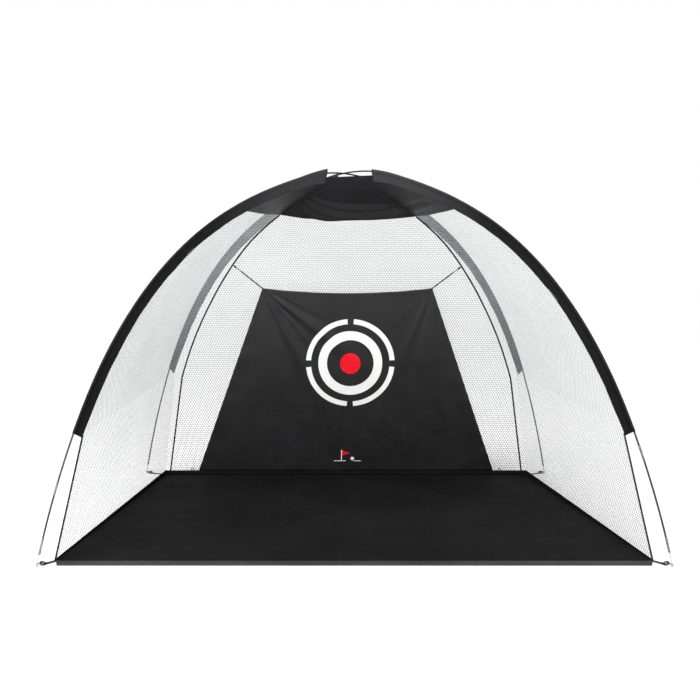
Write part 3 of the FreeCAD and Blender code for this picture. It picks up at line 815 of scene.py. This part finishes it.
def floorLift(x, y):
    # wrinkles that stand off the ground, stronger at the sides, with faint lines where it was folded
    soft = max(0.0, uneven(x * 1.6, y * 4.5, 0, 30)) + 0.5 * max(0.0, uneven(x * 4, y * 11, 0, 31))
    side = 0.35 + 0.65 * abs(x) / net["floorFront"][0]
    crease = 0.0
    for value in (x, y):
        away = abs((value / floor["packedFolds"] + 0.5) % 1 - 0.5) * floor["packedFolds"]
        crease = max(crease, math.exp(-(away / 0.006) ** 2))
    return floor["lift"] * soft * side + floor["foldLift"] * crease


def makeFloor():
    (fx, fy), (rx, ry) = net["floorFront"], net["floorRear"]

    def place(u, v):
        x, y = u * (fx + (rx - fx) * v), fy + (ry - fy) * v
        edge = min(1, (1 - abs(u)) * 20, v * 30 + 0.15, (1 - v) * 30)
        return (x, y, floor["off"] + floorLift(x, y) * edge), (x, y)
    points, lay = flatGrid(floor["columns"], floor["rows"], place)
    piece = clothGrid("floor_cloth", points[:, ::-1], lay[:, ::-1], floor["cloth"], "floorOxford", "tent",
                      ["floor_sheet"])


def makeLip():
    fx, fy = net["floorFront"]

    def place(u, v):
        x, y = u * (fx - floor["lipShrink"] * v), fy - floor["lip"] * v
        puff = floor["lipPuff"] * math.sin(math.pi * min(v * 1.1, 1)) * (1 + 0.5 * uneven(x * 5, v, 0, 33))
        crinkle = 0.0006 * abs(uneven(x * 25, v * 3, 0, 34))
        return (x, y, floor["off"] + puff + crinkle), (x, y)
    points, lay = flatGrid(floor["lipColumns"], floor["lipRows"], place)
    piece = clothGrid("front_lip_cloth", points, lay, floor["lipCloth"], "greyLip", "tent",
                      ["front_lip"])


def makeHem():
    names = ("front_left", "rear_left", "rear_right", "front_right")
    feet = [floorCorner(corners[n], 0.0014) for n in names]
    heights = (floor["hemFront"], net["hemHeight"], net["hemHeight"], floor["hemFront"])
    sides = [float(np.linalg.norm(b - a)) for a, b in zip(feet[:-1], feet[1:])]
    points, lay = [], []
    for k in range(3):
        steps = 60 if k != 1 else 90
        for i in range(steps + (k == 2)):
            part = i / steps
            base = feet[k] * (1 - part) + feet[k + 1] * part
            tall = heights[k] * (1 - part) + heights[k + 1] * part
            out = np.cross(feet[k + 1] - feet[k], upward)
            out /= np.linalg.norm(out)
            column, shares = [], np.linspace(0, 1, 5)
            for r in shares:
                bulge = 0.0016 * math.sin(math.pi * r) + 0.0012 * uneven(part * 18, r * 2, 0, 40 + k)
                column.append(base + upward * tall * r + out * bulge * (0.3 + 0.7 * r))
            points.append(column)
            lay.append([(k * 2 + part * sides[k], r * tall) for r in shares])
    piece = clothGrid("wall_hem", points, lay, floor["hemCloth"], "floorOxford", "tent",
                      ["floor_hem"])


makeFloor()
makeLip()
makeHem()
print("floor made")


# target cloth and its prints: half widths and heights of each ring outside and inside, and the gaps' widths
prints = {"outer": ((0.3005, 0.321), (0.2665, 0.285)), "inner": ((0.217, 0.2345), (0.158, 0.1695)),
          "centre": (0.069, 0.0775), "gap": (0.044, 0.050), "mark": (0.010, 0.116), "place": (0.024, 0.828),
          "proud": 0.0006, "ink": 0.0004}


def makeTarget():
    def place(u, v):
        tall = targetTall - target["sag"] * (1 - u * u)
        height, half = v * tall, targetHalf(v * tall)
        hem = target["hem"] if min((1 - abs(u)) * half, tall - height) < target["hemWidth"] else 0.0
        return onTarget(u * half, height, hem - target["cloth"] / 2), (u * half, height)
    points, lay = flatGrid(target["columns"], target["rows"], place)
    piece = clothGrid("target_sheet", points[:, ::-1], lay[:, ::-1], target["cloth"], "targetOxford", "target",
                      ["target_cloth"])


def printedBand(name, outer, inner, spans, finish, slot, nodes=()):
    # inked arcs that follow the cloth; outer and inner are half widths and heights, spans are in degrees
    work = bmesh.new()
    layer = work.loops.layers.uv.new("cloth")
    for start, end in spans:
        turns = np.radians(np.linspace(start, end, max(8, int((end - start) / 3))))
        shares = np.linspace(0, 1, 5)
        closed = end - start > 359
        grid = []
        for turn in turns[:-1] if closed else turns:
            ring = []
            for share in shares:
                wide, tall = (a + (b - a) * share for a, b in zip(inner, outer))
                x = prints["place"][0] + wide * math.cos(turn)
                height = prints["place"][1] + tall * math.sin(turn)
                ring.append((work.verts.new(onTarget(x, height, prints["proud"])), (x, height)))
            grid.append(ring)
        count = len(grid)
        for i in range(count if closed else count - 1):
            for j in range(len(shares) - 1):
                quad = [grid[i][j], grid[i][j + 1], grid[(i + 1) % count][j + 1], grid[(i + 1) % count][j]]
                face = work.faces.new([q[0] for q in quad])
                for loop, q in zip(face.loops, quad):
                    loop[layer].uv = q[1]
    finishPrint(name, work, finish, nodes)


def finishPrint(name, work, finish, nodes=()):
    bmesh.ops.remove_doubles(work, verts=work.verts, dist=0.00005)
    mesh = bpy.data.meshes.new(name)
    work.to_mesh(mesh)
    work.free()
    piece = newPiece(name, mesh, finish, "target", nodes)
    giveWall(piece, prints["ink"])
    faceOut(piece)
    bpy.context.view_layer.objects.active = piece
    piece.select_set(True)
    bpy.ops.object.shade_smooth_by_angle(angle=0.6)
    piece.select_set(False)


def printedMark():
    # a small golf mark in place of a maker's: a flag on its pole, a ball and a line of turf
    shapes = {
        "white": [[(-0.045, -0.034), (-0.039, -0.034), (-0.039, 0.048), (-0.045, 0.048)],
                  [(0.035 + 0.013 * math.cos(t), -0.019 + 0.014 * math.sin(t))
                   for t in np.linspace(0, 5.98, 20)],
                  [(-0.095, -0.041), (0.095, -0.041), (0.095, -0.036), (-0.095, -0.036)]],
        "red": [[(-0.037, 0.004), (0.022, 0.025), (-0.037, 0.047)]],
    }
    for colour, outlines in shapes.items():
        work = bmesh.new()
        layer = work.loops.layers.uv.new("cloth")
        for outline in outlines:
            flat = [(prints["mark"][0] + x, prints["mark"][1] + h) for x, h in outline]
            face = work.faces.new([work.verts.new(onTarget(x, h, prints["proud"])) for x, h in flat])
            for loop, place in zip(face.loops, flat):
                loop[layer].uv = place
        finishPrint("target_mark_" + colour, work, colour + "Ink")


makeTarget()
topGap = math.degrees(prints["gap"][0] / 2 / prints["outer"][0][0])
sideGap = math.degrees(prints["gap"][1] / 2 / prints["outer"][0][1])
quarters = [(90 * q + (topGap if q % 2 else sideGap), 90 * q + 90 - (sideGap if q % 2 else topGap))
            for q in range(4)]
printedBand("target_outer_ring", *prints["outer"], quarters, "whiteInk", "print_white", ["target_rings"])
printedBand("target_inner_ring", *prints["inner"], [(0, 360)], "whiteInk", "print_white")
printedBand("target_centre", prints["centre"], (0, 0), [(0, 360)], "redInk", "print_red", ["target_bull"])
printedMark()
print("target made")


# foot straps
strap = {"width": 0.024, "cloth": 0.0015, "under": 0.0027, "over": 0.010, "loop": (0.025, 0.031),
         "sewn": 0.012, "eyeHeight": 0.0085, "ringEnd": 0.0049}


def makeStrap(name, corner):
    eye, tangent, _ = station(corner, halfLength - arch["poleStop"])
    eye = eye + tangent * ((eye[2] - strap["eyeHeight"]) / -tangent[2])
    towards = floorCorner(corner, 0) - eye
    towards[2] = 0
    reach = float(np.linalg.norm(towards))
    level = towards / reach
    hinge = np.cross(level, upward)
    near, far = strap["loop"]
    half = (strap["under"] + strap["over"] + strap["cloth"]) / 2
    centre = strap["ringEnd"] - strap["under"] - strap["cloth"] / 2 + half
    flat, turn = strap["cloth"] * 0.6 + 0.0004, np.linspace(0.15, math.pi - 0.15, 9)
    # along the ground from its sewn end, round under and over the ring's wire, and back onto itself
    path = [(reach + strap["sewn"], flat)]
    path += [(far + (reach - far) * part, flat) for part in (0.95, 0.8, 0.6, 0.4, 0.2, 0.1)]
    path += [(far, centre - half), (near + (far - near) * 0.3, centre - half)]
    path += [(near - half * math.sin(t), centre - half * math.cos(t)) for t in turn]
    path += [(near + (far - near) * 0.5, centre + half)]
    path += [(far + half * math.sin(t), centre + half * math.cos(t)) for t in np.linspace(0.15, 2.0, 6)]
    path += [(far + half + 0.006, strap["cloth"] * 1.9), (far + half + 0.022, strap["cloth"] * 1.75)]
    points, lay = [], []
    sides = np.linspace(-0.5, 0.5, 6) * strap["width"]
    for (along, high), gone in zip(path, runAlong(path)):
        base = np.array((eye[0], eye[1], 0)) + level * along + upward * high
        points.append([base + hinge * t for t in sides])
        lay.append([(gone, t) for t in sides])
    piece = clothGrid(name + "_foot_strap", points, lay, strap["cloth"], "webbing", None,
                      [name + "_strap"])
    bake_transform(piece)


for cornerName, corner in corners.items():
    makeStrap(cornerName, corner)
print("straps made")


# finishes of the pieces that stay as the frame has them
kept = {
    "fibreglass": ["pole_%s_section_%d" % (p, i) for p in "ab" for i in range(1, 10)],
    "ferruleSteel": ["pole_a_ferrules", "pole_b_ferrules"],
    "shockCord": ["pole_a_shock_cord", "pole_b_shock_cord"],
    "tipAluminium": ["pole_tips"],
    "zincSteel": [c + kind for c in corners for kind in ("_pin", "_ring")],
    "hookPlastic": ["tie_hooks"],
    "webbing": ["seam_loops"],
    "elastic": ["foot_loops"],
}
for finish, names in kept.items():
    for nodeName in names:
        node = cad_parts[nodeName]
        for place in node.material_slots:
            place.material = finishes[finish]
print("frame pieces finished")


# ground and light
light = {
    "backdrop": 1.0, "sky": 0.42, "sun": 2.2, "sunAngle": 50, "ground": "#fdfdfd",
    "lamps": {"key": ((-3.2, -2.6, 4.6), 160, 2.5), "front": ((-1.4, -6.6, 1.0), 190, 1.5),
              "fill": ((3.6, -4.0, 3.0), 60, 3.0)},  # place, watts and size
}
bpy.ops.object.select_all(action="DESELECT")
bpy.ops.mesh.primitive_plane_add(size=60, location=(0, 8, -0.0005))
ground = bpy.context.object
ground.name = "studio_ground"
ground.data.materials.append(startMaterial("paleStudioPaper", {
    "Base Color": linear(light["ground"]), "Roughness": 0.9, "Specular IOR Level": 0.1})[0])
world = bpy.data.worlds.new("studio")
scene.world = world
world.use_nodes = True
# a white backdrop behind the net, and a dimmer room that lights it
sky = world.node_tree.nodes["Background"]
sky.inputs["Color"].default_value = (1, 1, 1, 1)
rays = addNode(world.node_tree, "ShaderNodeLightPath")
strength = addNode(world.node_tree, "ShaderNodeMapRange", {"To Min": light["sky"],
                   "To Max": light["backdrop"]}, {"Value": rays.outputs["Is Camera Ray"]})
world.node_tree.links.new(strength.outputs["Result"], sky.inputs["Strength"])
sun = bpy.data.objects.new("softbox_sun", bpy.data.lights.new("softbox_sun", "SUN"))
scene.collection.objects.link(sun)
sun.data.energy = light["sun"]
sun.data.angle = math.radians(light["sunAngle"])
sun.rotation_euler = (math.radians(24), math.radians(-14), 0)
for lampName, (place, power, size) in light["lamps"].items():
    lamp = bpy.data.objects.new(lampName, bpy.data.lights.new(lampName, "AREA"))
    scene.collection.objects.link(lamp)
    lamp.data.energy = power
    lamp.data.size = size
    lamp.location = place
    lamp.rotation_euler = (Vector((0, 0.2, 0.9)) - lamp.location).to_track_quat("-Z", "Y").to_euler()
print("ground and light placed")
